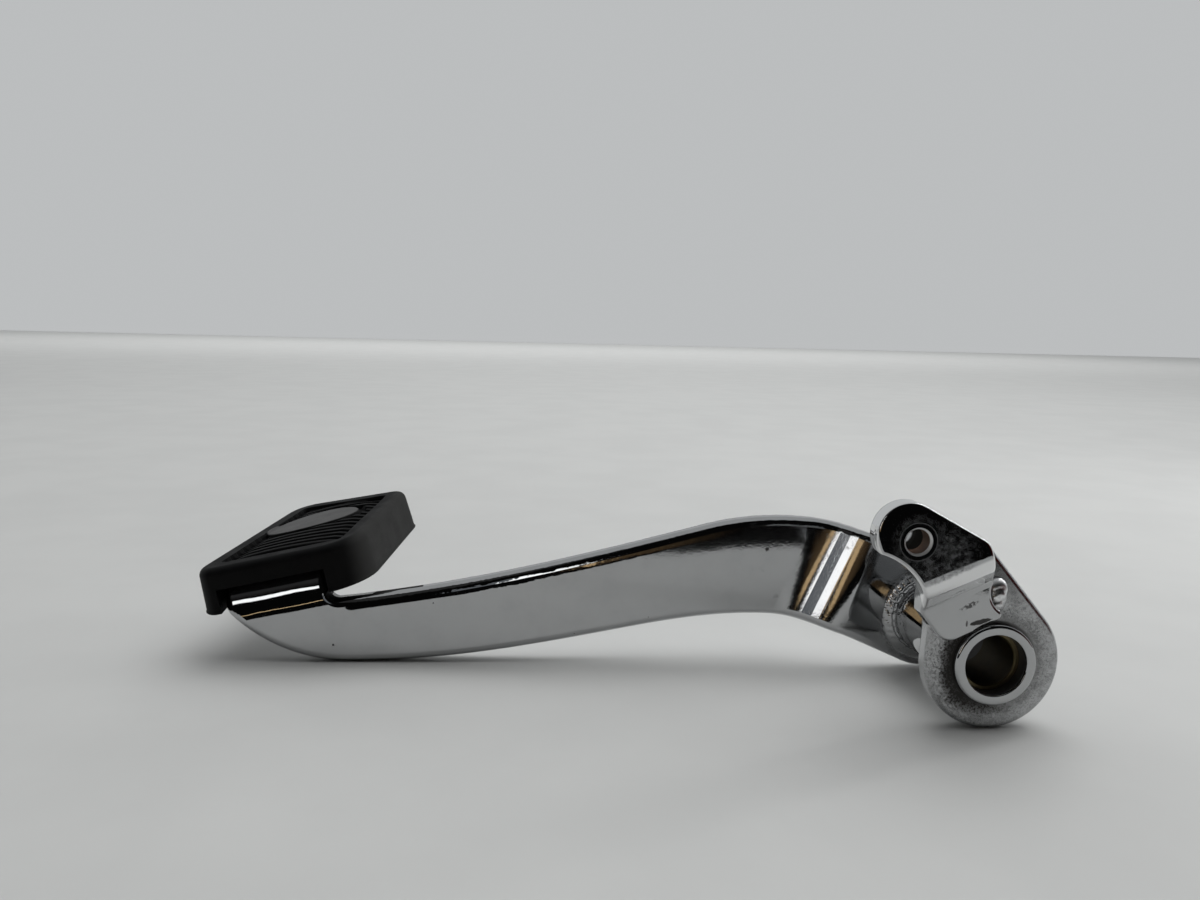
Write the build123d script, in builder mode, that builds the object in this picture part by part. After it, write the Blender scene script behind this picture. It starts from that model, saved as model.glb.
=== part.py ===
from build123d import *
import os
from math import cos, hypot, radians, sin, tan

# Rear brake pedal of a motorcycle: a chromed strap that swings on a bushed tube and folds over at its tip
# into a tread with a rubber cover. The origin is the middle of the pivot axis. Y runs along that axis with
# +Y outboard, -X points forward along the arm and +Z is up.

# Pivot tube and its two bushes
tube_od = 25.4
tube_bore = 19.05
tube_length = 59.0
tube_outer_chamfer = 0.9
tube_inner_chamfer = 0.35
bush_bore = 16.0
bush_length = 20.0
bush_recess = 4.7
bush_chamfer = 0.4

# Pedal arm: the eye round the tube, the joggle and the long strap
arm_thickness = 8.0
arm_setback = 0.8
arm_edge = 2.9
eye_radius = 19.5
hub_fall = 23.5
joggle_offset = 8.0
joggle_angle = 30.0
joggle_from_pivot = 29.0
joggle_outer_radius = 22.0
joggle_inner_radius = 14.0
waist_z = -3.1
waist_radius = 88.0
crest_z = 32.7
crest_radius = 106.0
crest_drop = 20.0
crest_rise = 15.0
belly_x = -108.0
belly_z = -8.9
sole_x = -205.0
sole_z = -21.0
tip_x = -246.0
tip_z = -3.2
tip_radius = 5.0
shoulder_slope = 6.5
relief_radius = 3.2

# Fold at the tip and the tread plate
fold_pitch = 12.3
fold_inner_radius = 3.0
fold_width = 36.0
tread_rise = 4.0
tread_inset = 3.6

# Rubber cover: corners along and across the tread, from the tip end of the fold
pad_front_near = -8.6
pad_front_far = 11.4
pad_rear_near = 48.6
pad_rear_far = 58.6
pad_near_edge = -11.6
pad_far_front = 63.8
pad_far_rear = 55.7
pad_corner_front_near = 6.5
pad_corner_front_far = 11.0
pad_corner_rear_far = 6.0
pad_corner_rear_near = 16.0
pad_cover = 6.35
pad_depth = 16.0
pad_flare = 7.5
pad_shoulder = 3.0
pad_fit = 0.25
pad_lip = 3.0
pad_rim = 7.6
rib_pitch = 3.95
rib_width = 2.3
rib_count = 15
rib_middle = 28.05
groove_depth = 1.5
oval_along = 25.0
oval_across = 31.6
oval_long = 35.6
oval_short = 20.8
oval_turn = 19.0
notch_drop = 7.5
notch_front_gap = 0.8
notch_rear_gap = 0.5

# Hub plate and the lever for the master cylinder rod
plate_thickness = 6.35
plate_edge = 1.6
hub_setback = 2.3
hub_radius = 21.0
hub_tip_x = -10.9
hub_tip_z = 30.9
hub_tip_radius = 9.2
hub_ear_radius = 7.4
hub_corner = 3.0
lever_pitch = 24.0
lever_offset = 6.0
lever_angle = 40.0
lever_from_pivot = 28.3
lever_bend_radius = 6.5
lever_edge = 1.0
lever_corner = 1.2
clevis_x = -31.2
clevis_z = 40.4
clevis_hole = 7.2
clevis_chamfer = 0.6
lobe_x = -33.8
lobe_z = 42.1
lobe_radius = 9.6
brow_x = -13.8
brow_z = 36.6
brow_radius = 5.0
heel_x = -8.4
heel_z = 27.6
heel_radius = 3.0
toe_x = -16.9
toe_z = 14.4
toe_radius = 5.2
tail_x = -3.0
tail_z = 17.0
tail_radius = 1.4
scallop_x = -47.0
scallop_z = 16.5
scallop_radius = 20.8
bay_x = 1.6
bay_z = 24.2
bay_radius = 7.0
tab_clearance = 2.95

# Weld beads: the ring round the tube on the arm, and the run that fills the lever's bay
bead_leg = 3.9
bead_height = 3.5
run_x = -1.5
run_z = 21.6
run_long = 11.2
run_wide = 7.0
run_turn = 82.0
run_height = 3.6
run_crown = 2.4

# Levels along the pivot axis
eye_mid = tube_length / 2 - arm_setback - arm_thickness / 2
strap_mid = eye_mid + joggle_offset
strap_near = strap_mid - arm_thickness / 2
eye_near = eye_mid - arm_thickness / 2
hub_face = tube_length / 2 - hub_setback

# Points of the arm's side outline that follow from its lines and arcs
fall, drop, rise, pitch = (radians(a) for a in (hub_fall, crest_drop, crest_rise, fold_pitch))
waist_x = -(eye_radius + waist_radius * (1 - cos(fall)) + waist_z * cos(fall)) / sin(fall)
waist_end = (waist_x + waist_radius * sin(fall), waist_z - waist_radius * (1 - cos(fall)))
eye_under = (-eye_radius * sin(fall), -eye_radius * cos(fall))
eye_top = (eye_radius * sin(drop), eye_radius * cos(drop))
crest_x = (eye_radius - crest_radius * (1 - cos(drop)) - crest_z * cos(drop)) / sin(drop)
crest_end = (crest_x + crest_radius * sin(drop), crest_z - crest_radius * (1 - cos(drop)))
crest_start = (crest_x - crest_radius * sin(rise), crest_z - crest_radius * (1 - cos(rise)))
fold_end = (tip_x + fold_width * cos(pitch), tip_z + fold_width * sin(pitch))

# Planes: across the joggle's bend lines, across the fold, on top of the tread, across the lever's bends
strap_plane = Plane((0, 0, 0), x_dir=(cos(fall), 0, -sin(fall)), z_dir=(sin(fall), 0, cos(fall)))
fold_plane = Plane((tip_x, 0, tip_z), x_dir=(0, 1, 0), z_dir=(cos(pitch), 0, sin(pitch)))
fold_outer = fold_inner_radius + arm_thickness
fold_axis = strap_near + fold_outer
lift = radians(tread_rise)
tread_plane = Plane(
    fold_plane.from_local_coords((fold_axis - fold_outer * sin(lift), fold_outer * cos(lift))),
    x_dir=fold_plane.z_dir,
    z_dir=fold_plane.y_dir * cos(lift) - fold_plane.x_dir * sin(lift),
)
climb = radians(lever_pitch)
lever_plane = Plane((0, 0, 0), x_dir=(-sin(climb), 0, cos(climb)), z_dir=(cos(climb), 0, sin(climb)))


# The rubber cover's top outline, and the tread plate's outline inside it, both in the plane of the tread
with BuildLine() as pad_edge:
    FilletPolyline(
        (pad_front_near, pad_near_edge),
        (pad_rear_near, pad_near_edge),
        (pad_rear_far, pad_far_rear),
        (pad_front_far, pad_far_front),
        radius=(pad_corner_front_near, pad_corner_rear_near, pad_corner_rear_far, pad_corner_front_far),
        close=True,
    )
with BuildSketch() as tread_shape:
    make_face(pad_edge.edges())
    offset(amount=-tread_inset)
    Rectangle(4 * fold_width, 4 * fold_width, align=(Align.CENTER, Align.MAX), mode=Mode.SUBTRACT)
    Rectangle(4 * fold_width, 4 * fold_width, align=(Align.MAX, Align.CENTER), mode=Mode.SUBTRACT)

os.makedirs("parts", exist_ok=True)

with BuildPart() as pivot_tube:
    with BuildSketch(Plane.XZ.offset(-tube_length / 2)):
        Circle(tube_od / 2)
        Circle(tube_bore / 2, mode=Mode.SUBTRACT)
    extrude(amount=tube_length)
    rims = pivot_tube.edges().filter_by(GeomType.CIRCLE).sort_by(SortBy.RADIUS)
    chamfer(rims[:2], tube_inner_chamfer)
    chamfer(rims[2:], tube_outer_chamfer)

with BuildPart() as inner_bush:
    with BuildSketch(Plane.XZ.offset(tube_length / 2 - bush_recess)):
        Circle(tube_bore / 2)
        Circle(bush_bore / 2, mode=Mode.SUBTRACT)
    extrude(amount=-bush_length)
    chamfer(inner_bush.edges().filter_by(GeomType.CIRCLE).sort_by(SortBy.RADIUS)[:2], bush_chamfer)

with BuildPart() as outer_bush:
    with BuildSketch(Plane.XZ.offset(bush_recess - tube_length / 2)):
        Circle(tube_bore / 2)
        Circle(bush_bore / 2, mode=Mode.SUBTRACT)
    extrude(amount=bush_length)
    chamfer(outer_bush.edges().filter_by(GeomType.CIRCLE).sort_by(SortBy.RADIUS)[:2], bush_chamfer)

with BuildPart() as pedal_arm:
    with BuildSketch(Plane.XZ):
        with BuildLine():
            TangentArc((sole_x, sole_z), (tip_x, tip_z), tangent=(-1, 0))
            Spline((sole_x, sole_z), (belly_x, belly_z), (waist_x, waist_z), tangents=((1, 0), (1, 0)))
            TangentArc((waist_x, waist_z), waist_end, tangent=(1, 0))
            Line(waist_end, eye_under)
            TangentArc(eye_under, eye_top, tangent=(cos(fall), -sin(fall)))
            Line(eye_top, crest_end)
            TangentArc(crest_end, crest_start, tangent=(-cos(drop), sin(drop)))
            relief = JernArc(fold_end, (sin(pitch), -cos(pitch)), relief_radius, 90 - fold_pitch + shoulder_slope)
            Spline(relief @ 1, crest_start, tangents=(relief % 1, (cos(rise), sin(rise))))
            Line(fold_end, (tip_x, tip_z))
        make_face()
    extrude(amount=strap_mid + arm_thickness, both=True)
    with BuildSketch(strap_plane):
        with BuildLine():
            FilletPolyline(
                (2 * tip_x, strap_mid),
                (-joggle_from_pivot - joggle_offset / tan(radians(joggle_angle)), strap_mid),
                (-joggle_from_pivot, eye_mid),
                (-tip_x, eye_mid),
                radius=(joggle_outer_radius, joggle_inner_radius),
            )
        trace(line_width=arm_thickness)
    extrude(amount=-2 * tip_x, both=True, mode=Mode.INTERSECT)
    with BuildSketch(fold_plane):
        with BuildLine():
            outer = CenterArc((fold_axis, 0), fold_outer, 90 + tread_rise, 90 - tread_rise)
            inner = CenterArc((fold_axis, 0), fold_inner_radius, 90 + tread_rise, 90 - tread_rise)
            Line(outer @ 0, inner @ 0)
            Line(outer @ 1, inner @ 1)
        make_face()
    extrude(amount=fold_width)
    with BuildSketch(tread_plane):
        add(tread_shape.sketch)
    extrude(amount=-arm_thickness)
    fillet(pedal_arm.edges().filter_by(Axis.Y).sort_by_distance((tip_x, strap_mid, tip_z))[0], tip_radius)
    fillet(pedal_arm.edges().sort_by(SortBy.LENGTH)[-4:], arm_edge)
    with BuildSketch(Plane.XZ):
        Circle(tube_od / 2)
    extrude(amount=-tube_length, mode=Mode.SUBTRACT)

# The ear of the hub plate that stands behind the lever's lobe, so that the two hold the rod between them
with BuildSketch() as ear_side:
    with Locations((hub_tip_x, hub_tip_z)):
        Circle(hub_tip_radius)
    with Locations((clevis_x, clevis_z)):
        Circle(hub_ear_radius)
    make_hull()

with BuildPart() as hub_plate:
    with BuildSketch(Plane.XZ.offset(hub_face)) as hub_side:
        Circle(hub_radius)
        with Locations((hub_tip_x, hub_tip_z)):
            Circle(hub_tip_radius)
        make_hull()
        add(ear_side.sketch)
        fillet(hub_side.vertices().sort_by_distance((-hub_radius, hub_tip_z))[0], hub_corner)
    extrude(amount=-plate_thickness)
    fillet(hub_plate.faces().filter_by(Axis.Y).edges(), plate_edge)
    with BuildSketch(Plane.XZ.offset(hub_face)):
        Circle(tube_od / 2)
        with Locations((clevis_x, clevis_z)):
            Circle(clevis_hole / 2)
    extrude(amount=-plate_thickness, mode=Mode.SUBTRACT)
    chamfer(hub_plate.edges().filter_by(GeomType.CIRCLE).filter_by(
        lambda e: abs(e.radius - clevis_hole / 2) < 1e-6), clevis_chamfer)

lever_rounds = (
    (lobe_x, lobe_z, lobe_radius),
    (brow_x, brow_z, brow_radius),
    (heel_x, heel_z, heel_radius),
    (toe_x, toe_z, toe_radius),
    (tail_x, tail_z, tail_radius),
)
lever_cuts = (
    (scallop_x, scallop_z, scallop_radius),
    (bay_x, bay_z, bay_radius),
    (0, 0, tube_od / 2 + tab_clearance),
)
with BuildPart() as cylinder_lever:
    with BuildSketch(Plane.XZ) as lever_side:
        for x, z, radius in lever_rounds:
            with Locations((x, z)):
                Circle(radius)
        make_hull()
        for x, z, radius in lever_cuts:
            with Locations((x, z)):
                Circle(radius, mode=Mode.SUBTRACT)
        fillet(
            lever_side.vertices().filter_by(
                lambda v: any(abs(hypot(v.X - x, v.Y - z) - radius) < 0.001 for x, z, radius in lever_cuts)
            ),
            lever_corner,
        )
    extrude(amount=tube_length)
    with BuildSketch(lever_plane):
        with BuildLine():
            FilletPolyline(
                (0, hub_face + plate_thickness / 2),
                (lever_from_pivot, hub_face + plate_thickness / 2),
                (lever_from_pivot + lever_offset / tan(radians(lever_angle)),
                 hub_face + plate_thickness / 2 + lever_offset),
                (tube_length * 2, hub_face + plate_thickness / 2 + lever_offset),
                radius=lever_bend_radius,
            )
        trace(line_width=plate_thickness)
    extrude(amount=tube_length * 2, both=True, mode=Mode.INTERSECT)
    flanks = cylinder_lever.faces().filter_by(lambda f: abs(f.normal_at().Y) < 0.01)
    fillet(flanks.edges().filter_by(Axis.Y, reverse=True), lever_edge)
    with BuildSketch(Plane.XZ):
        with Locations((clevis_x, clevis_z)):
            Circle(clevis_hole / 2)
    extrude(amount=tube_length, mode=Mode.SUBTRACT)
    chamfer(cylinder_lever.edges().filter_by(GeomType.CIRCLE).filter_by(
        lambda e: abs(e.radius - clevis_hole / 2) < 1e-6), clevis_chamfer)

with BuildPart() as arm_weld:
    with BuildSketch(Plane.XY):
        with BuildLine():
            foot = Line((tube_od / 2, eye_near), (tube_od / 2 + bead_leg, eye_near))
            wall = Line((tube_od / 2, eye_near), (tube_od / 2, eye_near - bead_height))
            RadiusArc(foot @ 1, wall @ 1, bead_leg)
        make_face()
    revolve(axis=Axis.Y)

with BuildPart() as lever_weld:
    with BuildSketch(Plane.XZ.offset(hub_face)):
        with Locations((run_x, run_z)):
            SlotOverall(run_long, run_wide, rotation=run_turn)
    extrude(amount=run_height)
    fillet(lever_weld.faces().sort_by(Axis.Y)[0].edges(), run_crown)
    add(cylinder_lever.part, mode=Mode.SUBTRACT)

with BuildPart() as tread_rubber:
    with BuildSketch(tread_plane.offset(pad_cover)):
        make_face(pad_edge.edges())
    extrude(amount=-pad_depth, taper=-pad_flare)
    fillet(tread_rubber.faces().sort_by(Axis.Z)[-1].edges(), pad_shoulder)
    with BuildSketch(tread_plane.offset(pad_cover)):
        make_face(pad_edge.edges())
        offset(amount=-pad_rim)
        with Locations((oval_along, rib_middle)):
            with GridLocations(0, rib_pitch, 1, rib_count):
                Rectangle(2 * pad_rear_far, rib_width, mode=Mode.SUBTRACT)
        with Locations((oval_along, oval_across)):
            Ellipse(oval_long / 2, oval_short / 2, rotation=oval_turn, mode=Mode.SUBTRACT)
    extrude(amount=-groove_depth, mode=Mode.SUBTRACT)
    with BuildSketch(tread_plane.offset(pad_fit)):
        add(tread_shape.sketch)
        offset(amount=pad_fit)
    extrude(amount=-arm_thickness - 2 * pad_fit, mode=Mode.SUBTRACT)
    with BuildSketch(tread_plane):
        add(tread_shape.sketch)
        offset(amount=-pad_lip)
    extrude(amount=-pad_depth, mode=Mode.SUBTRACT)
    with BuildSketch(fold_plane.offset(-notch_front_gap)):
        with Locations((fold_axis, 0)):
            Circle(fold_outer + pad_fit)
    extrude(amount=notch_front_gap + fold_width + notch_rear_gap, mode=Mode.SUBTRACT)
    with BuildSketch(tread_plane.offset(pad_cover - notch_drop)):
        with Locations((-notch_front_gap, 0)):
            Rectangle(
                notch_front_gap + fold_width + notch_rear_gap, 2 * pad_depth, align=(Align.MIN, Align.MAX)
            )
    extrude(amount=-pad_depth, mode=Mode.SUBTRACT)

for piece, name in (
    (pedal_arm, "pedal_arm"),
    (pivot_tube, "pivot_tube"),
    (hub_plate, "hub_plate"),
    (cylinder_lever, "cylinder_lever"),
    (arm_weld, "arm_weld"),
    (lever_weld, "lever_weld"),
    (inner_bush, "inner_bush"),
    (outer_bush, "outer_bush"),
    (tread_rubber, "tread_rubber"),
):
    piece.part.label = name
    export_step(piece.part, f"parts/{name}.step")
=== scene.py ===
from math import cos, pi, radians, sin, tan

import bmesh
import bpy
import numpy as np
from mathutils import Matrix, Vector


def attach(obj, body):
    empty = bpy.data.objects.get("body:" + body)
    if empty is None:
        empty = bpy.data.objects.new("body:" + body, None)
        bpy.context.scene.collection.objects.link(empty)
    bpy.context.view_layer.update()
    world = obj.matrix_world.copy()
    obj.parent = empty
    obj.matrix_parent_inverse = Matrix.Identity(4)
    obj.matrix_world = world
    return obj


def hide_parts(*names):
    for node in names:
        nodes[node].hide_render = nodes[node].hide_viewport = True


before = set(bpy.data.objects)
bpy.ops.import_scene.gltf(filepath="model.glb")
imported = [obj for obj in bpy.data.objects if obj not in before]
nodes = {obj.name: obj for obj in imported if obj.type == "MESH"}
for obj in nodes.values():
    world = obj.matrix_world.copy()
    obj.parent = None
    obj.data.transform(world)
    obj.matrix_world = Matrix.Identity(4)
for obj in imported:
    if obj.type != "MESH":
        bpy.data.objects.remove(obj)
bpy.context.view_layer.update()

# Pedal arm: one forged strap with a round eye, a joggle and a fold at the tip that becomes the tread plate.
# It is steel, ground smooth on the broad faces, and chromed all over; the plating shows the grain of the
# forging along the edges and on the joggle, and holds a few pits.


class Wire:
    """A socket of a material. Arithmetic between wires and numbers adds Math nodes to its tree."""

    def __init__(self, socket):
        self.socket = socket

    def node(self, kind, settings=None, inputs=None, out=0):
        """Adds one node: its settings first, then the values or wires of its sockets, by name or number."""
        tree = self.socket.id_data
        made = tree.nodes.new(kind)
        for name, value in (settings or {}).items():
            setattr(made, name, value)
        for name, value in (inputs or {}).items():
            if isinstance(value, Wire):
                tree.links.new(value.socket, made.inputs[name])
            else:
                made.inputs[name].default_value = value
        return Wire(made.outputs[out])

    def math(self, operation, *values):
        return self.node("ShaderNodeMath", {"operation": operation}, dict(enumerate(values)))

    def __add__(self, other):
        return self.math("ADD", self, other)

    def __sub__(self, other):
        return self.math("SUBTRACT", self, other)

    def __rsub__(self, other):
        return self.math("SUBTRACT", other, self)

    def __mul__(self, other):
        return self.math("MULTIPLY", self, other)

    def __truediv__(self, other):
        return self.math("DIVIDE", self, other)

    def __pow__(self, other):
        return self.math("POWER", self, other)

    __radd__ = __add__
    __rmul__ = __mul__

    def step(self, low, high):
        """0 below low and 1 above high, with an eased slope between; it falls where low is above high."""
        return self.node("ShaderNodeMapRange", {"interpolation_type": "SMOOTHSTEP"},
                         {"Value": self, "From Min": low, "From Max": high})

    def larger(self, other):
        """The larger of this value and another one."""
        return self.math("MAXIMUM", self, other)

    def sine(self):
        """The sine of this value, in radians."""
        return self.math("SINE", self)

    def clipped(self, low, high):
        """This value, held between low and high."""
        return self.node("ShaderNodeClamp", {}, {"Value": self, "Min": low, "Max": high})

    def blend(self, first, second):
        """A colour that goes from first to second as this value goes from 0 to 1."""
        pick = {0: self, 6: first, 7: second}
        return self.node("ShaderNodeMix", {"data_type": "RGBA"}, pick, out=2)

    def noise(self, size, detail=2.0, rough=0.5, warp=0.0):
        """Cloudy values round 0.5 whose lumps are about size wide, on a wire of positions."""
        return self.node("ShaderNodeTexNoise", {}, {"Vector": self, "Scale": 1 / size, "Detail": detail,
                                                    "Roughness": rough, "Distortion": warp})

    def cells(self, size, out="Distance"):
        """Distance to the nearest of points scattered about size apart, as a share of size, or its Color."""
        return self.node("ShaderNodeTexVoronoi", {}, {"Vector": self, "Scale": 1 / size}, out)

    def stretched(self, scale):
        """The same positions, scaled along each axis."""
        return self.node("ShaderNodeMapping", {}, {"Vector": self, "Scale": scale})

    def parts(self):
        """The three coordinates of a position, each as its own wire."""
        split = self.node("ShaderNodeSeparateXYZ", {}, {0: self}).socket.node
        return [Wire(out) for out in split.outputs]

    def near(self, point):
        """Distance from a position to a fixed point."""
        return self.node("ShaderNodeVectorMath", {"operation": "DISTANCE"}, {0: self, 1: point}, out="Value")

    def along(self, origin, direction):
        """How far a position lies from origin, measured along a direction."""
        offset = self.node("ShaderNodeVectorMath", {"operation": "SUBTRACT"}, {0: self, 1: origin})
        return self.node("ShaderNodeVectorMath", {"operation": "DOT_PRODUCT"}, {0: offset, 1: direction},
                         out="Value")

    def lump(self, strength, distance, under=None):
        """A surface direction that treats this value as a height, distance deep, over another one."""
        inputs = {"Strength": strength, "Distance": distance, "Height": self}
        if under:
            inputs["Normal"] = under
        return self.node("ShaderNodeBump", {}, inputs)


class Finish:
    """A material with one Principled shader. place is a wire of positions on the part, in millimetres."""

    def __init__(self, name, **constants):
        self.material = bpy.data.materials.new(name)
        self.material.use_nodes = True
        tree = self.material.node_tree
        self.shader = tree.nodes["Principled BSDF"]
        for socket, value in constants.items():
            self.shader.inputs[socket.replace("_", " ")].default_value = value
        coordinates = Wire(tree.nodes.new("ShaderNodeTexCoord").outputs["Object"])
        self.place = coordinates.node("ShaderNodeVectorMath", {"operation": "SCALE"},
                                      {0: coordinates, "Scale": 1000.0})

    def feed(self, **wires):
        """Links wires to the shader's sockets, with _ for a space in a socket's name."""
        for socket, wire in wires.items():
            self.material.node_tree.links.new(wire.socket, self.shader.inputs[socket.replace("_", " ")])


chrome = (0.445, 0.45, 0.455, 1)
chrome_thin = (0.415, 0.42, 0.425, 1)
# brighter chrome, painted where a sheen or highlight stands in for light
chrome_bright = (0.80, 0.805, 0.81, 1)
# dark of grime, also used for painted shade and a painted dark reflection
grime_and_shade = (0.020, 0.017, 0.014, 1)
rust = (0.10, 0.045, 0.018, 1)
bloom_grey = (0.066, 0.071, 0.080, 1)
pit_gap, pit_depth, wave_depth, grit_depth = 7.0, 0.05, 0.05, 0.014


def plating(name, grain, dirt_and_shade, pit_share=0.25, haze=0.0, spots=(), easing=None, bloom=None, sheen_painted=None,
            rubbed=None, rusted=None):
    """Bright chrome over steel. grain and dirt take the finish and give 0 to 1 over the surface: how far the
    grain of the forging shows, and how far a dark film covers the plating: grime, and on some parts painted
    shade and a painted dark reflection. Each spot is a pit, given as (x, y, z, radius). The rest take the
    finish
    too: easing gives a height in millimetres that leans the polished surface where a grinder has eased it,
    bloom 0 to 1 where a grey film dulls it, the brightening mask where the chrome is painted brighter as a
    sheen or highlight, rubbed how much rougher it is, and rusted where rust has taken the plating."""
    made = Finish(name, Metallic=1.0)
    place = made.place
    coarse = grain(made)
    soil_and_shade = dirt_and_shade(made)
    grit = place.noise(0.8, 2.0, 0.6)
    wave = place.noise(12.0, 3.0, 0.5)
    chosen = place.cells(pit_gap, out="Color").parts()[0].step(1 - pit_share, 1 - pit_share + 0.01)
    pits = place.cells(pit_gap).step(0.05, 0.025) * chosen
    for x, y, z, radius in spots:
        edge = place.near((x, y, z)) + (place.noise(0.5) - 0.5) * radius
        pits = pits.larger(edge.step(radius, radius * 0.55))
    cloud = place.noise(9.0, 4.0, 0.6).step(0.4, 0.8)
    film = soil_and_shade.larger(pits * 0.9)
    tone = cloud.blend(chrome, chrome_thin)
    # painted sheen: the brightening mask paints brighter chrome where a sheen or highlight stands in for
    # light
    if sheen_painted:
        tone = sheen_painted(made).blend(tone, chrome_bright)
    # the dark film is grime, and on some parts painted shade and a painted dark reflection
    tone = film.blend(tone, grime_and_shade)
    height = grit * coarse * grit_depth + wave * wave_depth - pits * pit_depth
    if easing:
        height = height + easing(made)
    shine = 1 - film * 0.75
    rough = 0.03 + coarse * 0.05 + cloud * 0.02 + haze + film * 0.40
    if bloom:
        veil = bloom(made)
        tone = veil.blend(tone, bloom_grey)
        shine = shine * (1 - veil * 0.8)
        rough = rough + veil * 0.3
    if rubbed:
        rough = rough + rubbed(made)
    if rusted:
        share = rusted(made)
        tone = share.blend(tone, rust)
        shine = shine * (1 - share * 0.7)
    made.feed(Base_Color=tone, Metallic=shine, Roughness=rough, Normal=height.lump(1.0, 0.001))
    return made.material


def shown_as(node, material):
    """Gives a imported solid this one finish."""
    solid = nodes[node]
    solid.data.materials.clear()
    solid.data.materials.append(material)


top_line = (23.77, 26.66, -4.26, -20.93, -10.96)
fold_tip, fold_pitch = (-246.0, 0.0, -3.2), radians(12.3)
lean_reach, fold_reach, lean_slope = 7.0, 5.4, 0.285
crest_reach, crest_lean = 15.0, 0.0023
ramp_line, ramp_reach, ramp_lean = (0.918, -0.398, 36.6), 2.7, 0.045


def below_top(made):
    """How far a point of the strap lies under its top edge, whose line along the arm is the quartic
    c0 + c1 t + c2 t^2 + c3 t^3 + c4 t^4 with t = x / 100 + 1."""
    x, _, z = made.place.parts()
    t = x * 0.01 + 1.0
    height = top_line[-1]
    for term in top_line[-2::-1]:
        height = t * height + term
    return height - z


def arm_grain(made):
    """The forging's grain shows under the top edge, on the crest and on the joggle, and fades to the tip."""
    x = made.place.parts()[0]
    crest = x.step(-150.0, -85.0) * below_top(made).step(crest_reach, 3.0)
    bend = x.step(-72.0, -56.0) * x.step(-24.0, -34.0)
    return 0.04 + x.step(-215.0, -130.0) * 0.12 + (crest * 1.1).larger(bend * 0.8)


def arm_easing(made):
    """The face leans back over the last 7 mm below the fold, its slope rising evenly and then giving way to
    the fold's own round; it leans a little under the top edge of the strap and of the crest, and the ramp
    of the joggle is ground a shade flatter along its last third."""
    x, _, z = made.place.parts()
    along = made.place.along(fold_tip, (cos(fold_pitch), 0.0, sin(fold_pitch)))
    up = made.place.along(fold_tip, (-sin(fold_pitch), 0.0, cos(fold_pitch))) + (along * 0.33).sine() * 0.08
    below, above = (up + lean_reach).clipped(0.0, lean_reach), up.clipped(0.0, fold_reach)
    rise = below * below * (0.5 / lean_reach) + above - above * above * (0.5 / fold_reach)
    fold = rise * along.step(43.0, 36.0) * lean_slope
    drop = below_top(made)
    ragged = (made.place.noise(6.0, 3.0) - 0.5) * x.step(-185.0, -150.0)
    depth = along.step(36.0, 43.0) * x.step(-62.0, -75.0) * (0.36 - x.step(-168.0, -146.0) * 0.10)
    edge = (drop + ragged).step(5.2, 1.4) * depth
    crest = (crest_reach - drop).clipped(0.0, crest_reach) ** 2 * crest_lean
    crest = crest * x.step(-128.0, -80.0) * x.step(-38.0, -43.0)
    ramp = (x * ramp_line[0] + z * ramp_line[1] + ramp_line[2]).clipped(0.0, ramp_reach) * ramp_lean
    return 2.0 - fold - edge - crest - ramp


def from_line(made, line_x=0.0, line_z=0.0):
    """How far a point lies from a line along Y: the pivot's axis, or the one through line_x and line_z."""
    x, _, z = made.place.parts()
    return ((x - line_x) ** 2 + (z - line_z) ** 2) ** 0.5


def arm_dirt(made):
    """A film of grime where the weld meets the eye, and thin smears near the joggle."""
    x, y, _ = made.place.parts()
    ring = from_line(made).step(19.0, 16.2) * y.step(24.0, 21.0)
    smear = made.place.noise(5.0, 3.0).step(0.62, 0.78) * x.step(-75.0, -55.0) * 0.25
    return ring * made.place.noise(2.2, 3.0).step(0.3, 0.75) * 0.7 + smear


arm_spots = ((-127.9, 28.7, -11.4, 0.45), (-125.0, 28.7, -10.3, 0.35), (-56.7, 28.7, 21.3, 0.8),
             (-209.6, 28.7, -14.4, 0.5), (-174.8, 28.7, 0.9, 0.3))
shown_as("pedal_arm", plating("arm_chrome", arm_grain, arm_dirt, pit_share=0.12, spots=arm_spots,
                               easing=arm_easing))

# Pivot tube: plain drawn tube, chromed with the rest once everything is welded, and bright on its turned
# end. Grime sits where it goes through the plates, and the bore is painted dark as shade inside the tube.
tube_outside, tube_inside, tube_half, tube_edge, mouth_edge = 12.7, 9.525, 29.5, 0.9, 0.35


def skin(name, points, wrap_u, wrap_v):
    """A mesh on a grid of points, in millimetres: point [i, j] joins its neighbours, and a direction that
    wraps joins its last line to its first."""
    rows, columns = points.shape[:2]
    index = np.arange(rows * columns).reshape(rows, columns)
    if wrap_u:
        index = np.vstack([index, index[:1]])
    if wrap_v:
        index = np.hstack([index, index[:, :1]])
    quads = np.stack([index[:-1, :-1], index[1:, :-1], index[1:, 1:], index[:-1, 1:]], -1).reshape(-1, 4)
    mesh = bpy.data.meshes.new(name)
    mesh.from_pydata((points.reshape(-1, 3) / 1000).tolist(), [], quads.tolist())
    mesh.update()
    return mesh


def placed(name, mesh, material, slot, *replaced):
    """Puts a mesh of the part into the scene on its one body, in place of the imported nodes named."""
    piece = bpy.data.objects.new(name, mesh)
    bpy.context.scene.collection.objects.link(piece)
    mesh.materials.clear()
    mesh.materials.append(material)
    mesh.polygons.foreach_set("material_index", np.zeros(len(mesh.polygons), dtype=np.int32))
    mesh.shade_smooth()
    mesh.set_sharp_from_angle(angle=radians(50))
    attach(piece, "root")
    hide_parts(*replaced)


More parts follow.
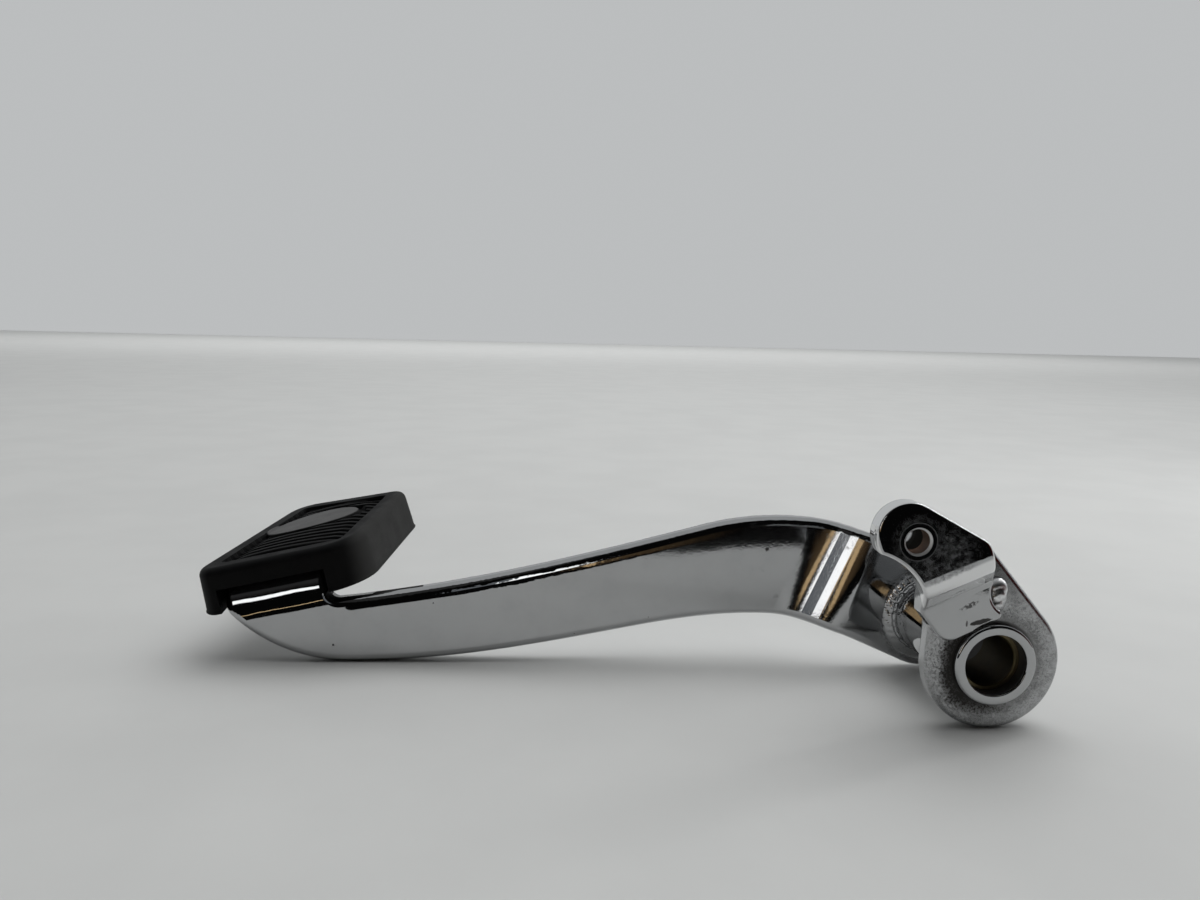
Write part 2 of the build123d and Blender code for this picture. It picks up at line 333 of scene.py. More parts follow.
def turned_tube(turns, steps):
    """A ring section carried round the axis: each end's outer corner is a round of the chamfer's size and
    each inner corner a smaller one, each a quarter circle, joined by the straight wall, face and bore. In
    this order the faces point inward."""
    quarter = np.linspace(0, pi / 2, steps)
    dip, run = 1 - np.cos(quarter), 1 - np.sin(quarter)
    outer = np.stack([tube_outside - tube_edge * dip, tube_half - tube_edge * run], 1)
    inner = np.stack([tube_inside + mouth_edge * run, tube_half - mouth_edge * dip], 1)
    far_end = np.concatenate([outer, inner])
    section = np.concatenate([far_end, far_end[::-1] * np.array([1, -1])])
    u = np.linspace(0, 2 * pi, turns, endpoint=False)[:, None]
    return np.stack([section[None, :, 0] * np.cos(u), np.repeat(section[None, :, 1], turns, 0),
                     section[None, :, 0] * np.sin(u)], -1)


def tube_grime_and_shade(made):
    """Painted shade inside the bore, and a soft dark band of grime beside each plate."""
    y, out = made.place.parts()[1], from_line(made)
    # painted shade: the bore is darkened as the inside of the tube lies in shade
    bore = out.step(9.75, 9.6) * y.step(-28.9, -28.3) * y.step(28.9, 28.3)
    band = y.step(-22.5, -19.0) * y.step(18.5, 14.0)
    film = (1 - band) * out.step(12.5, 12.65) * y.step(-27.6, -26.6) * 0.6
    return bore * 0.9 + film * made.place.noise(3.0, 3.0).step(0.35, 0.7)


def tube_grain(made):
    """Faint marks of the drawing along the wall, and none on the turned end."""
    return made.place.parts()[1].step(-29.0, -28.0) * 0.15


placed("turned_tube", skin("turned_tube", turned_tube(192, 7), True, True),
       plating("tube_chrome", tube_grain, tube_grime_and_shade, pit_share=0.1), "plated_steel", "pivot_tube")

# Hub plate: a teardrop cut from quarter-inch plate and welded round the inboard end of the tube. Its
# plating is dull beside the tube, in a dark mottled ring that is partly the grime of years and partly painted
# shade, deepest toward the arm; the ear behind the lever's lobe is darkened with painted shade.
hole_x, hole_z = -31.2, 40.4


def hub_grime_and_shade(made):
    """A dark mottled ring round the tube that breaks up outwards, partly grime and partly painted shade,
    heavier on the side of the arm, and painted shade on the front of the ear behind the lever's lobe."""
    x, y, z = made.place.parts()
    out = from_line(made)
    # painted shade: the ring and the crevice are darkened more toward the arm's side, to the left and lower
    # left
    side = 0.30 + (x * 0.95 + z * 0.22).step(6.0, -11.0) * 0.70
    ragged = out + (made.place.noise(5.0, 3.0) - 0.5) * 5.0
    close = ragged.step(18.6, 13.6) * side
    specks = made.place.noise(0.6, 3.0, 0.6).step(0.45, 0.62)
    wide = ragged.step(23.0, 15.0) * specks * side
    crevice = out.step(14.4, 13.1) * (0.5 + side * 0.5)
    mottle = made.place.noise(2.4, 5.0, 0.7).step(0.36, 0.74)
    # painted shade: the front of the ear behind the lobe is darkened, as it lies in the shaded gap between
    # the plates
    ear = from_line(made, hole_x, hole_z).step(11.0, 7.0) * y.step(-25.5, -26.8)
    face = (close * 0.86 + wide * 0.50 + mottle * 0.20).larger(crevice)
    return (face * y.step(-25.0, -26.5)).larger(ear)


shown_as("hub_plate", plating("hub_chrome", lambda made: made.place.noise(6.0) * 0.7, hub_grime_and_shade, pit_share=0.3,
                              haze=0.12))

# Cylinder lever: a short stepped lever of the same plate. The plating on its lobe is smoky and mottled, a
# faint grey ring surrounds the rod hole where a washer sat, and the wall of the hole has gone rusty. Its tab
# carries smudges and a painted dark reflection, and the slope to the lobe is painted brighter as a
# reflection.


def lever_smudges_and_reflection(made):
    """On the tab: a painted dark reflection, one long stroke above the tube and a short one beside it, and a
    row of small smudges under the bend."""
    x, y, z = made.place.parts()
    ragged = (made.place.noise(0.9, 3.0) - 0.5) * 1.6
    tab = y.step(-35.0, -34.2)
    # painted reflection: the long stroke and the short one beside it are a dark reflection painted on the tab
    stroke = (((x + 8.2) * 0.29) ** 2 + (((z - 15.1) - (x + 8.2) * 0.24) * 1.15) ** 2) ** 0.5
    short = (((x + 12.3) * 1.9) ** 2 + ((z - 14.6) * 0.7) ** 2) ** 0.5
    row = (((x + 11.9) * 0.36) ** 2 + ((z - 20.0) - (x + 11.9) * 0.45) ** 2) ** 0.5
    painted_reflection = (stroke + ragged * 0.4).step(1.0, 0.75) * 0.9 + (short + ragged * 0.4).step(0.75, 0.45) * 0.7
    under_bend = (row + ragged * 0.5).step(1.1, 0.5) * made.place.noise(0.8, 3.0).step(0.38, 0.56) * 0.7
    return (painted_reflection + under_bend) * tab


def lever_bloom(made):
    """A mottled grey film on the lobe, over the hole's lower right, and a faint ring where a washer sat."""
    y, far = made.place.parts()[1], from_line(made, hole_x, hole_z)
    field = made.place.near((hole_x + 8.0, -39.5, hole_z - 4.5)).step(12.0, 5.0)
    field = field.larger(far.step(8.5, 6.0) * 0.6)
    patches = made.place.noise(1.7, 6.0, 0.7).step(0.36, 0.74) * field * 0.55
    ring = far.step(5.75, 5.55) * far.step(5.2, 5.4) * 0.35
    return (patches * far.step(5.0, 5.4)).larger(ring) * y.step(-39.2, -39.45)


def lever_easing(made):
    """The lobe's face rolls over softly at its left end."""
    x, y, z = made.place.parts()
    roll = (x * 0.92 + z * 0.40 + 18.5).step(-1.0, -8.5) * y.step(-37.0, -38.5)
    return 1.0 - roll * 0.75


def lever_sheen_painted(made):
    """The slope between the lobe and the tab is painted brighter as a painted reflection, and the rim of the
    rod hole is brighter too.
    """
    y = made.place.parts()[1]
    slope = y.step(-34.0, -34.6) * y.step(-39.5, -39.3)
    return slope.larger(from_line(made, hole_x, hole_z).step(4.2, 4.0))


def lever_rubbed(made):
    """The rim of the rod hole is rubbed matt."""
    return from_line(made, hole_x, hole_z).step(4.25, 4.1) * 0.5


def lever_rusted(made):
    """The wall of the rod hole is rusty behind its rim."""
    return from_line(made, hole_x, hole_z).step(3.66, 3.62) * made.place.parts()[1].step(-38.9, -38.4)


shown_as("cylinder_lever", plating("lever_chrome", lambda made: made.place.noise(7.0) * 0.6, lever_smudges_and_reflection,
                                   pit_share=0.2, easing=lever_easing, bloom=lever_bloom,
                                   sheen_painted=lever_sheen_painted, rubbed=lever_rubbed, rusted=lever_rusted))

# Arm weld: the bead that joins the eye to the tube, laid by hand in overlapping puddles and then plated
# over, so it is bright but lumpy, with two ridges where two passes lie side by side.
weld_leg, weld_face, weld_height, weld_fill = 3.9, 20.7, 3.5, 0.96


def lumpy_ring(turns, across):
    """Carries the bead's section round the tube: a rounded slope from the tube's wall to the eye's face,
    raised by two ridges and by puddles that lean along the ring, closed by the wall and the face."""
    u = np.linspace(0, 2 * pi, turns, endpoint=False)[:, None]
    v = np.linspace(0, 1, across)[None, :]
    lean = u - 0.10 * np.sin(pi * v)
    puddle = np.abs(np.sin(lean * 17 + 0.9 * np.sin(3 * u) + 0.5 * np.sin(7 * u + 1)))
    rough = 0.06 * np.sin(61 * u + 9 * v) * np.sin(43 * u - 13 * v + 2) + 0.05 * np.sin(23 * u + 17 * v)
    ridge = 0.42 * np.exp(-((v - 0.70) / 0.13) ** 2) + 0.30 * np.exp(-((v - 0.26) / 0.12) ** 2)
    swell = np.sin(pi * v) ** 0.7 * (0.30 * puddle + rough + 0.12 * np.sin(2 * u + 0.6) - 0.10) + ridge
    angle = v * pi / 2
    radius = tube_outside + weld_leg * (1 - np.cos(angle)) * weld_fill + swell * np.cos(angle) * 0.55
    level = weld_face - weld_height * (1 - np.sin(angle)) * weld_fill - swell * 0.45
    edge = np.concatenate([radius, np.full((turns, 1), tube_outside)], 1)
    height = np.concatenate([np.minimum(level, weld_face), np.full((turns, 1), weld_face)], 1)
    edge[:, 0] = tube_outside
    edge[:, -2] = tube_outside + weld_leg + 0.25 * np.sin(9 * u[:, 0]) * np.sin(4 * u[:, 0] + 1)
    height[:, -2] = weld_face
    return np.stack([edge * np.cos(u), height, edge * np.sin(u)], -1)


def weld_dirt(made):
    """Grime in the hollows of a bead."""
    return made.place.noise(0.9, 4.0, 0.65).step(0.56, 0.74) * 0.55


bead_chrome = plating("bead_chrome", lambda made: made.place.noise(1.0) * 1.6,
                      lambda made: weld_dirt(made) * 0.6, pit_share=0.5, haze=0.08)
placed("arm_weld_bead", skin("arm_weld_bead", lumpy_ring(720, 26)[:, ::-1], True, True), bead_chrome,
       "weld_bead", "arm_weld")

# Lever weld: a short fat run that fills the bay between the edge of the lever and the hub plate. It has
# flowed smooth, and the plating over it is bright, with brighter patches painted on as highlights.
run_x, run_z, run_long, run_wide, run_turn = -1.5, 21.6, 11.2, 7.0, radians(82)
run_high, run_foot, run_fill, foot_share = 3.5, -27.2, 0.98, 0.12


def weld_run(turns, rings):
    """A low dome over a slot: r, which falls from 1 at the slot's edge to 0 in its middle, sets the height
    by sqrt(1 - r^2.4), with a few soft waves along the run, over a flat foot. The middle of the dome and of
    the foot are each a ring of points in one place."""
    u = np.linspace(0, 2 * pi, turns, endpoint=False)[:, None]
    v = np.linspace(0, 1, rings)[None, :]
    half, straight = run_wide / 2, (run_long - run_wide) / 2
    reach = np.where(v < foot_share, v / foot_share, 1 - (v - foot_share) / (1 - foot_share))
    along = reach * (half * np.cos(u) + straight * np.tanh(3 * np.cos(u)))
    across = reach * half * np.sin(u)
    wave = 0.40 * np.sin(along * 1.9 + 0.35 * across ** 2 + 0.8 * np.sin(across)) * reach * (1 - reach) * 3
    dome = run_high * np.sqrt(np.clip(1 - reach ** 2.4, 0, 1)) * run_fill + wave * 0.6
    rise = np.where(v < foot_share, 0.0, dome)
    x = run_x + along * np.cos(run_turn) - across * np.sin(run_turn)
    z = run_z + along * np.sin(run_turn) + across * np.cos(run_turn)
    return np.stack([x, run_foot - np.clip(rise, 0, run_high), z], -1)


# painted highlight: the brightening mask on this run paints brighter chrome in patches that stand in for
# highlights
run_chrome = plating("run_chrome", lambda made: made.place.noise(2.0) * 0.5,
                     lambda made: weld_dirt(made) * 0.3, pit_share=0.1, haze=0.30,
                     sheen_painted=lambda made: made.place.noise(4.0).step(0.2, 0.5))
placed("lever_weld_run", skin("lever_weld_run", weld_run(96, 40), True, False), run_chrome,
       "weld_bead", "lever_weld")

# Bushes: two plain sleeves of oiled bronze pressed into the ends of the tube. They are dull olive brown
# with a paler scraped rim.


def bush_finish():
    """Old bronze: brown with olive clouds, fine turning marks round the axis and a rubbed bright edge."""
    made = Finish("bush_bronze", Metallic=0.85)
    out = from_line(made)
    cloud = made.place.noise(3.5, 4.0).step(0.3, 0.7)
    rim = out.step(8.05, 8.5) * out.step(9.5, 9.2)
    tone = cloud.blend((0.050, 0.038, 0.016, 1), (0.085, 0.066, 0.030, 1))
    tone = (rim * 0.7).blend(tone, (0.22, 0.18, 0.10, 1))
    rings = (made.place.parts()[1] * 9.0).sine()
    made.feed(Base_Color=tone, Roughness=0.38 + cloud * 0.18 - rim * 0.1,
              Normal=(rings + made.place.noise(0.8) * 2).lump(0.3, 0.00003))
    return made.material


bronze = bush_finish()
shown_as("inner_bush", bronze)
shown_as("outer_bush", bronze)

# Rubber cover: one moulding of black rubber stretched over the tread plate, with a flat rim, ribs along
# the foot's way across, a bare oval in the middle and a skirt that grips the plate's edges underneath.
tread = np.array([[-248.3376, 38.9327, 7.5213], [0.97704557, 0, 0.21303039],
                  [-0.01486025, 0.99756405, 0.06815525], [-0.21251145, -0.06975647, 0.97466554]])
pad_corners = np.array([[-8.6, -11.6], [48.6, -11.6], [58.6, 55.7], [11.4, 63.8]])
pad_rounds = np.array([6.5, 16.0, 6.0, 11.0])
pad_top, pad_depth, pad_flare, pad_shoulder = 6.35, 16.0, radians(7.5), 3.0
plate_inset, plate_thick, plate_fit, skirt_lip = 3.6, 8.0, 0.25, 3.0
rim_width, groove_deep, rib_pitch, rib_first = 7.0, 1.6, 3.95, 0.4
oval_x, oval_y, oval_long, oval_short, oval_turn = 25.0, 31.6, 17.8, 10.4, radians(19)
heart_x, heart_y, flash_thick, flare_share = 25.0, 26.0, 0.28, 0.5


def on_tread(x, y, level):
    """Points of the tread's own plane, x along the fold, y outboard and level up, in the row frame."""
    return tread[0] + x[..., None] * tread[1] + y[..., None] * tread[2] + level[..., None] * tread[3]


def inset_lines(inset):
    """The four straight sides of the cover moved in by inset, as inward normals and offsets."""
    edge = np.roll(pad_corners, -1, 0) - pad_corners
    normal = np.stack([-edge[:, 1], edge[:, 0]], 1) / np.linalg.norm(edge, axis=1)[:, None]
    return normal, (normal * pad_corners).sum(1) + inset


def outline(inset, per_side=40, per_corner=26):
    """A closed line round the cover, moved in by inset: four straight sides and four rounded corners, each
    with a fixed number of points, so lines at different insets match point for point."""
    normal, offset = inset_lines(inset)
    before, before_off = np.roll(normal, 1, 0), np.roll(offset, 1)
    radius = np.maximum(pad_rounds - inset, 0.6)
    reach = np.stack([before_off + radius, offset + radius], 1)
    centre = np.linalg.solve(np.stack([before, normal], 1), reach[..., None])[..., 0]
    start = np.arctan2(-before[:, 1], -before[:, 0])
    sweep = (np.arctan2(-normal[:, 1], -normal[:, 0]) - start) % (2 * pi)
    angle = start[:, None] + sweep[:, None] * np.linspace(0, 1, per_corner)[None, :]
    arc = centre[:, None] + radius[:, None, None] * np.stack([np.cos(angle), np.sin(angle)], -1)
    share = np.linspace(0, 1, per_side + 2)[1:-1, None]
    side = arc[:, -1:] * (1 - share) + np.roll(arc, -1, 0)[:, :1] * share
    return np.concatenate([arc, side], 1).reshape(-1, 2)


def row_ends(loop, y):
    """Where a row across the cover at each y enters and leaves a closed line."""
    low, high = loop[:, 1].argmin(), loop[:, 1].argmax()
    turned = np.roll(loop, -low, 0)
    top = (high - low) % len(loop)
    right, left = turned[:top + 1], np.vstack([turned[top:], turned[:1]])[::-1]
    return np.interp(y, left[:, 1], left[:, 0]), np.interp(y, right[:, 1], right[:, 0])


def ease(low, high, value):
    """0 below low, 1 above high and an eased slope between."""
    t = np.clip((value - low) / (high - low), 0, 1)
    return t * t * (3 - 2 * t)


def oval_ways(x, y):
    """Distances from the oval's middle along its long and its short axis, as shares of its half axes."""
    x, y = x - oval_x, y - oval_y
    return ((x * cos(oval_turn) + y * sin(oval_turn)) / oval_long,
            (y * cos(oval_turn) - x * sin(oval_turn)) / oval_short)


def tread_height(x, y):
    """Height of the cover's top over its flat rim: inside the rim the ribs stand on a sunk floor, crowned
    across the foot so that their ends dip below the rim, and the oval stands level with the ribs' tops."""
    normal, offset = inset_lines(0.0)
    inward = normal[:, 0] * x[..., None] + normal[:, 1] * y[..., None] - offset
    inward = -np.log(np.exp(-inward / 0.9).sum(-1)) * 0.9
    field = ease(rim_width - 0.35, rim_width + 0.35, inward)
    middle = 21.0 + 0.22 * y
    crown = 0.15 - 0.0030 * (x - middle) ** 2 - 0.00040 * (y - 28.0) ** 2
    ends = ease(rim_width + 5.5, rim_width + 1.0, inward) * 0.55
    phase = (y - rib_first + rib_pitch / 2) % rib_pitch - rib_pitch / 2
    rib = ease(1.60, 0.75, np.abs(phase))
    out = np.hypot(*oval_ways(x, y))
    plateau = ease(1.03, 0.97, out)
    moat = ease(1.16, 1.10, out)
    rib = rib * (1 - moat)
    ribbed = crown - ends * (1 - plateau) - groove_deep * (1 - np.maximum(rib, plateau))
    ribbed = ribbed + plateau * (0.10 - 0.2 * (crown - 0.15))
    return np.minimum(field * ribbed, 0.35)


def moulding(rows, columns):
    """The whole cover as one closed skin: rows across the top, then the rounded shoulder, the flared side
    with a thin flash at its foot, and a flat underside that meets in the middle."""
    start = pad_shoulder * tan(pi / 4 - pad_flare / 2)
    rim = outline(start)
    low, high = rim[:, 1].min(), rim[:, 1].max()
    fine = np.linspace(0, 1, rows)
    y = low + (high - low) * fine
    y[-1] = high - 1e-4
    left, right = row_ends(rim, y)
    share = np.linspace(0, 1, columns)
    x = left[:, None] + (right - left)[:, None] * share[None, :]
    grid_y = np.repeat(y[:, None], columns, 1)
    top = on_tread(x, grid_y, pad_top + tread_height(x, grid_y))
    index = np.arange(rows * columns).reshape(rows, columns)
    ring = np.concatenate([index[0], index[1:, -1], index[-1, -2::-1], index[-2:0:-1, 0]])
    edge = np.stack([x, grid_y], -1).reshape(-1, 2)[ring]
    dense = outline(start, 400, 160)
    tangent = np.roll(dense, -1, 0) - np.roll(dense, 1, 0)
    outward = np.stack([tangent[:, 1], -tangent[:, 0]], 1) / np.linalg.norm(tangent, axis=1)[:, None]
    nearest = ((edge[:, None, :] - dense[None, :, :]) ** 2).sum(-1).argmin(1)
    outward = outward[nearest]
    bend = np.linspace(0, pi / 2 - pad_flare, 9)[1:]
    drop_a, out_a = pad_shoulder * (1 - np.cos(bend)), pad_shoulder * np.sin(bend)
    fall = np.array([0.25, 0.5, 0.75, 0.90, 0.925, 0.95, 0.975, 1.0]) * (pad_depth - drop_a[-1])
    flash = np.array([0, 0, 0, 0, 0.08, flash_thick, flash_thick, 0])
    drop = np.concatenate([drop_a, drop_a[-1] + fall])
    out = np.concatenate([out_a, out_a[-1] + fall * tan(pad_flare) * flare_share + flash])
    loops = edge[None] + out[:, None, None] * outward[None]
    side = on_tread(loops[..., 0], loops[..., 1], np.repeat(pad_top - drop[:, None], len(ring), 1))
    heart = on_tread(np.array([heart_x]), np.array([heart_y]), np.array([pad_top - pad_depth]))
    points = np.concatenate([top.reshape(-1, 3), side.reshape(-1, 3), heart])
    around = np.vstack([ring[None], rows * columns + np.arange(len(drop) * len(ring)).reshape(len(drop), -1)])
    around = np.hstack([around, around[:, :1]])
    quads = [
        np.stack([index[:-1, :-1], index[:-1, 1:], index[1:, 1:], index[1:, :-1]], -1).reshape(-1, 4),
        np.stack([around[:-1, :-1], around[1:, :-1], around[1:, 1:], around[:-1, 1:]], -1).reshape(-1, 4),
    ]
    last = around[-1]
    fan = np.stack([last[1:], last[:-1], np.full(len(ring), len(points) - 1)], -1)
    mesh = bpy.data.meshes.new("tread_cover")
    mesh.from_pydata((points / 1000).tolist(), [], np.concatenate(quads).tolist() + fan.tolist())
    mesh.update()
    return mesh


def prism(name, loop, low, high):
    """A closed block over a flat outline of the tread's plane, from one level to another."""
    count = len(loop)
    levels = np.repeat(np.array([low, high])[:, None], count, 1)
    rings = on_tread(np.tile(loop[:, 0], (2, 1)), np.tile(loop[:, 1], (2, 1)), levels).reshape(-1, 3)
    walls = np.stack([np.arange(count), np.roll(np.arange(count), -1),
                      np.roll(np.arange(count), -1) + count, np.arange(count) + count], -1)
    mesh = bpy.data.meshes.new(name)
    faces = walls.tolist() + [list(range(count))[::-1], list(range(count, 2 * count))]
    mesh.from_pydata((rings / 1000).tolist(), [], faces)
    mesh.update()
    return mesh


def plate_outline(grow):
    """The tread plate's outline inside the cover, grown by grow: the cover's own outline moved in, and cut
    off square at the fold and at its end."""
    loop = np.maximum(outline(plate_inset - grow, 12, 10), -grow)
    keep = np.linalg.norm(loop - np.roll(loop, 1, 0), axis=1) > 1e-6
    return loop[keep]


def hollowed(mesh, cutters):
    """The mesh with each closed cutter taken out of it, and without the flat pockets, two faces closed on
    each other, that cutters with nearly equal walls leave behind."""
    body = bpy.data.objects.new("cover_body", mesh)
    bpy.context.scene.collection.objects.link(body)
    tools = []
    for cutter in cutters:
        tool = bpy.data.objects.new(cutter.name, cutter)
        bpy.context.scene.collection.objects.link(tool)
        cut = body.modifiers.new(cutter.name, "BOOLEAN")
        cut.operation, cut.solver, cut.object = "DIFFERENCE", "MANIFOLD", tool
        tools.append(tool)
    bpy.context.view_layer.update()
    result = bpy.data.meshes.new_from_object(body.evaluated_get(bpy.context.evaluated_depsgraph_get()))
    for spent in [body, *tools]:
        bpy.data.objects.remove(spent)
    shell = bmesh.new()
    shell.from_mesh(result)
    pockets = [face for face in shell.faces
               if len({mate for edge in face.edges for mate in edge.link_faces}) == 2]
    bmesh.ops.delete(shell, geom=pockets, context="FACES")
    shell.to_mesh(result)
    shell.free()
    return result


notch_from, notch_to, notch_near, notch_far = -0.8, 36.5, -30.0, 0.3
notch_level, fold_radius, mouth_level, mouth_spare = pad_top - 7.5, 11.0, -1.0, 5.0
notch_box = np.array([[notch_from, notch_near], [notch_to, notch_near], [notch_to, notch_far],
                      [notch_from, notch_far]])


def fold_cutter(count=96):
    """A closed round bar along the fold, a little thicker than the fold is. Its faces point inward, so the
    cut does not clear it."""
    angle = np.linspace(0, 2 * pi, count, endpoint=False)
    radius = fold_radius + plate_fit
    across, level = radius * np.cos(angle), radius * np.sin(angle) - fold_radius
    rings = np.stack([on_tread(np.full(count, along), across, level) for along in (notch_from, notch_to)])
    step = np.roll(np.arange(count), -1)
    walls = np.stack([np.arange(count), np.arange(count) + count, step + count, step], -1)
    mesh = bpy.data.meshes.new("fold_room")
    faces = walls.tolist() + [list(range(count)), list(range(count, 2 * count))[::-1]]
    mesh.from_pydata((rings.reshape(-1, 3) / 1000).tolist(), [], faces)
    mesh.update()
    return mesh


cover = hollowed(moulding(300, 120), [
    prism("plate_room", plate_outline(plate_fit), -plate_thick - plate_fit, plate_fit),
    prism("skirt_mouth", plate_outline(-skirt_lip), -pad_depth, mouth_level),
    prism("fold_mouth", notch_box, -pad_depth - mouth_spare, notch_level),
    fold_cutter(),
])


def rubber_finish():
    """Black moulded rubber: matt, faintly mottled with dust that greys the bare oval; the skirt's right side
    is painted paler, partly dust and partly painted light falling from the right.
    """
    made = Finish("pad_rubber", Metallic=0.0, Specular_IOR_Level=0.11)
    cloud = made.place.noise(8.0, 4.0).step(0.3, 0.75)
    dust = made.place.noise(1.1, 4.0, 0.7).step(0.45, 0.8)
    along, across, level = (made.place.along(tuple(tread[0]), tuple(way)) for way in tread[1:])
    long_way, short_way = oval_ways(along, across)
    plateau = (long_way * long_way + short_way * short_way).step(0.98, 0.92) * level.step(5.4, 5.8)
    # painted light: the wall toward the right is painted paler, partly dust and partly light falling from the
    # right; the walls facing the front stay near black
    side = (along - across * 0.15).step(45.0, 50.0)
    pale = side * 0.75 + (cloud * 0.35 + dust * 0.25) * 0.25
    tone = pale.blend((0.0012, 0.0012, 0.0015, 1), (0.033, 0.033, 0.032, 1))
    tone = (plateau * 0.95).blend(tone, (0.090, 0.090, 0.090, 1))
    made.feed(Base_Color=tone, Roughness=0.52 + cloud * 0.12 + dust * 0.08 - plateau * 0.06,
              Normal=(made.place.noise(0.35, 3.0) + made.place.noise(3.0, 2.0) * 1.5).lump(0.35, 0.00006))
    return made.material


placed("tread_cover", cover, rubber_finish(), "pad_rubber", "tread_rubber")

# Stage: a pale table under soft studio light. A tall dark curtain stands in front, as the open front of a
# light tent does: the camera does not see it, but reflections do, and it keeps light away there. A small
# card nearer the pedal holds the tent's corner, a white post and warm wood, for reflections alone.
floor_level, floor_half, table_edge = -0.021, 6.0, -0.190


def stage_card(name, low, high, material):
    """A flat rectangle of the stage between two opposite corners, level or upright, with an edge along X."""
    (x0, y0, z0), (x1, y1, z1) = low, high
    mesh = bpy.data.meshes.new(name)
    mesh.from_pydata([(x0, y0, z0), (x1, y0, z0), (x1, y1, z1), (x0, y1, z1)], [], [(0, 1, 2, 3)])
    mesh.materials.append(material)
    piece = bpy.data.objects.new(name, mesh)
    bpy.context.scene.collection.objects.link(piece)
    return piece


def table_finish():
    """Pale board, faintly mottled and scuffed."""
    made = Finish("pale_table", Roughness=0.75)
    cloud = made.place.noise(60.0, 4.0).step(0.3, 0.7)
    tone = cloud.blend((0.585, 0.592, 0.584, 1), (0.610, 0.617, 0.608, 1))
    made.feed(Base_Color=tone, Normal=made.place.noise(1.2, 3.0).lump(0.12, 0.0001))
    return made.material


pale_table = table_finish()
stage_card("table", (-floor_half, table_edge, floor_level), (floor_half, floor_half, floor_level), pale_table)
table_front = stage_card("table_front", (-floor_half, -floor_half, floor_level),
                         (floor_half, table_edge, floor_level), pale_table)
table_front.visible_glossy = False
unlit, lamp_white = (0.003, 0.003, 0.003, 1), (2.2, 2.2, 2.2, 1)


def shining(name, look):
    """A stage material that gives off its own colour and takes no light; look turns positions into colour."""
    material = bpy.data.materials.new(name)
    material.use_nodes = True
    tree = material.node_tree
    tree.nodes.clear()
    tone = look(Wire(tree.nodes.new("ShaderNodeTexCoord").outputs["Object"]))
    glow = tone.node("ShaderNodeEmission", {}, {"Color": tone})
    end = tree.nodes.new("ShaderNodeOutputMaterial")
    tree.links.new(glow.socket, end.inputs["Surface"])
    return material


def curtain_look(place):
    """A dark curtain with a rail of warm wood, a pale lamp bar, a greyer top and a red cloth, by place."""
    x, _, z = place.parts()
    rail = z.step(0.095, 0.105) * z.step(0.128, 0.118) * x.step(-0.93, -0.90) * x.step(-0.64, -0.68)
    bar = z.step(0.77, 0.80) * z.step(0.94, 0.91) * x.step(-0.84, -0.90) * x.step(-1.50, -1.40)
    above = z.step(0.95, 1.30) * x.step(-0.75, -0.85)
    cloth = x.step(1.2, 1.6) * z.step(0.58, 0.48)
    tone = rail.blend(unlit, (1.25, 0.90, 0.50, 1))
    tone = above.blend(tone, (0.035, 0.035, 0.035, 1))
    tone = cloth.blend(tone, (0.06, 0.005, 0.005, 1))
    return bar.blend(tone, lamp_white)


def corner_look(place):
    """The tent's front corner: a dull wall, a lit white post leaning beside it, a dark gap, and varnished
    wood that is bright along its left edge and darker to the right, with an upright grain."""
    x, _, z = place.parts()
    slant = x - z * 0.37
    post = slant.step(-0.2058, -0.2045) * slant.step(-0.172, -0.175) * z.step(0.012, 0.016)
    wall = slant.step(-0.2045, -0.2058) * z.step(0.012, 0.016)
    grain = place.stretched((1, 1, 0.1)).noise(0.002, 3.0).step(0.3, 0.7)
    wood = x.step(-0.146, -0.140) * z.step(0.066, 0.062)
    lit = x.step(-0.108, -0.118) * wood
    brown = x.step(-0.030, -0.100) * wood
    tone = brown.blend(unlit, (0.085, 0.056, 0.030, 1))
    tone = (lit * (0.75 + grain * 0.25)).blend(tone, (0.92, 0.64, 0.34, 1))
    tone = wall.blend(tone, (0.18, 0.19, 0.205, 1))
    return post.blend(tone, lamp_white)


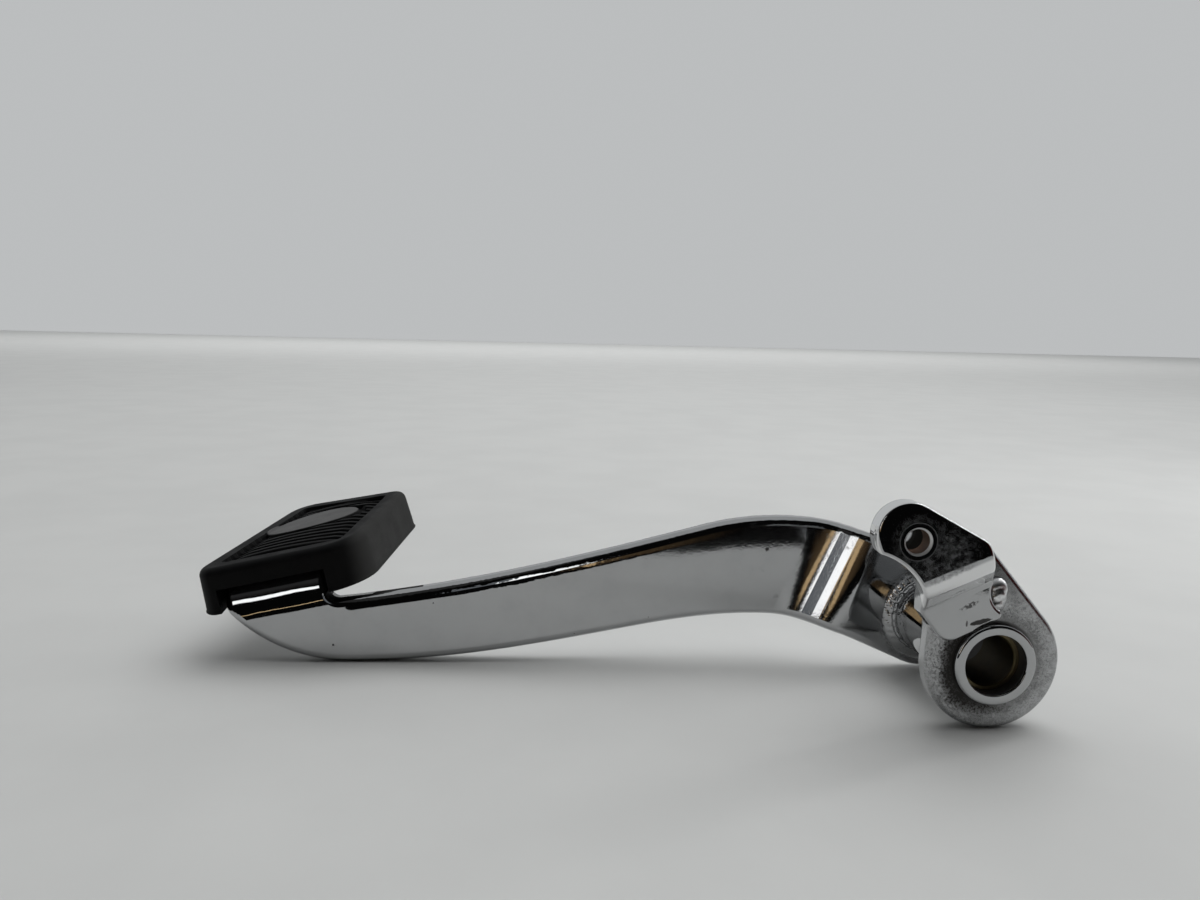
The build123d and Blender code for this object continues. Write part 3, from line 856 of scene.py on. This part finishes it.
curtain_y, corner_y = -1.575, -0.189
curtain = stage_card("tent_front", (-8.0, curtain_y, -0.8), (8.0, curtain_y, 7.2),
                     shining("tent_front", curtain_look))
corner = stage_card("tent_corner", (-0.223, corner_y, 0.004), (-0.025, corner_y, 0.095),
                    shining("tent_corner", corner_look))
corner.visible_diffuse = False
for card in (curtain, corner):
    card.visible_camera = card.visible_shadow = card.visible_transmission = False


def tent_light():
    """The tent's cloth: one pale grey to the eye and in reflections, and brighter as the light it gives."""
    sky = bpy.data.worlds.new("tent")
    bpy.context.scene.world = sky
    sky.use_nodes = True
    tree = sky.node_tree
    spread = Wire(tree.nodes.new("ShaderNodeLightPath").outputs["Is Diffuse Ray"])
    tone = spread.blend((0.50, 0.512, 0.518, 1), (0.52, 0.527, 0.53, 1))
    tree.links.new(tone.socket, tree.nodes["Background"].inputs["Color"])


tent_light()


def lamp(name, place, aim, size, power):
    """A soft rectangular lamp aimed at a point."""
    light = bpy.data.lights.new(name, "AREA")
    light.shape, light.size, light.size_y, light.energy = "RECTANGLE", size[0], size[1], power
    holder = bpy.data.objects.new(name, light)
    bpy.context.scene.collection.objects.link(holder)
    holder.location = place
    holder.rotation_euler = (Vector(aim) - Vector(place)).to_track_quat("-Z", "Y").to_euler()
    return holder


for roof in (lamp("roof_lamp", (0.45, 0.55, 2.00), (0.30, 0.45, 0.0), (2.4, 1.8), 28.0),
             lamp("far_lamp", (0.0, 4.20, 1.80), (0.0, 4.20, 0.0), (6.0, 2.5), 52.0)):
    roof.visible_glossy = False
lamp("side_lamp", (0.55, 0.25, 0.45), (0.0, 0.0, 0.0), (0.04, 0.7), 0.8)

# Camera: where the photograph was taken from, low in front of the pedal and a little left of its middle.
camera = bpy.data.objects.new("camera", bpy.data.cameras.new("camera"))
bpy.context.scene.collection.objects.link(camera)
bpy.context.scene.camera = camera
camera.data.lens, camera.data.sensor_width = 27.45, 36.0
camera.data.clip_start, camera.data.clip_end = 0.01, 50.0
camera_right, camera_down = (0.9976, -0.0649, 0.0241), (0.0152, -0.1352, -0.9907)
camera_ahead = (0.0676, 0.9887, -0.1339)
turn = Matrix((camera_right, -Vector(camera_down), -Vector(camera_ahead))).transposed()
camera.matrix_world = Matrix.Translation((-0.1389, -0.2857, 0.0986)) @ turn.to_4x4()
bpy.context.scene.view_settings.view_transform = "Standard"
